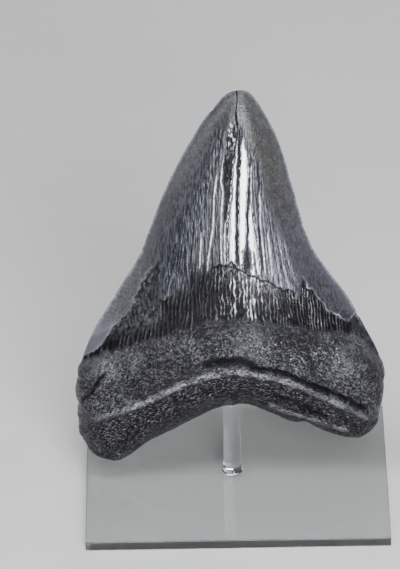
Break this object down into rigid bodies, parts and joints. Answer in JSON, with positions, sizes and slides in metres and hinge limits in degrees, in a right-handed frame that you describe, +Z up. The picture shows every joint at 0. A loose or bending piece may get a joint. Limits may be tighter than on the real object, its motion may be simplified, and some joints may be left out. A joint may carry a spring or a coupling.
{
  "type": "megalodon tooth on display stand",
  "caption": "Large triangular fossil shark tooth with grooved enamel and a lobed root, held upright on a clear rod and square clear plate.",
  "frame": {"origin": "middle of the square plate's underside, which rests on the surface", "axes": "+Z up, towards the tooth's tip; +X to the viewer's right across the tooth, along the plate's front edge; the tooth's rounded lingual face looks to -Y and leans back 10 degrees from upright"},
  "size_m": [0.1048, 0.1016, 0.1339],
  "materials": {
    "fossil_tooth": "glossy gunmetal grey enamel, satin near-black wrinkled root",
    "clear_acrylic": "clear, polished"
  },
  "bodies": {
    "root": {"tooth": "fossil_tooth", "stand_rod": "clear_acrylic", "stand_base": "clear_acrylic"}
  },
  "joints": []
}
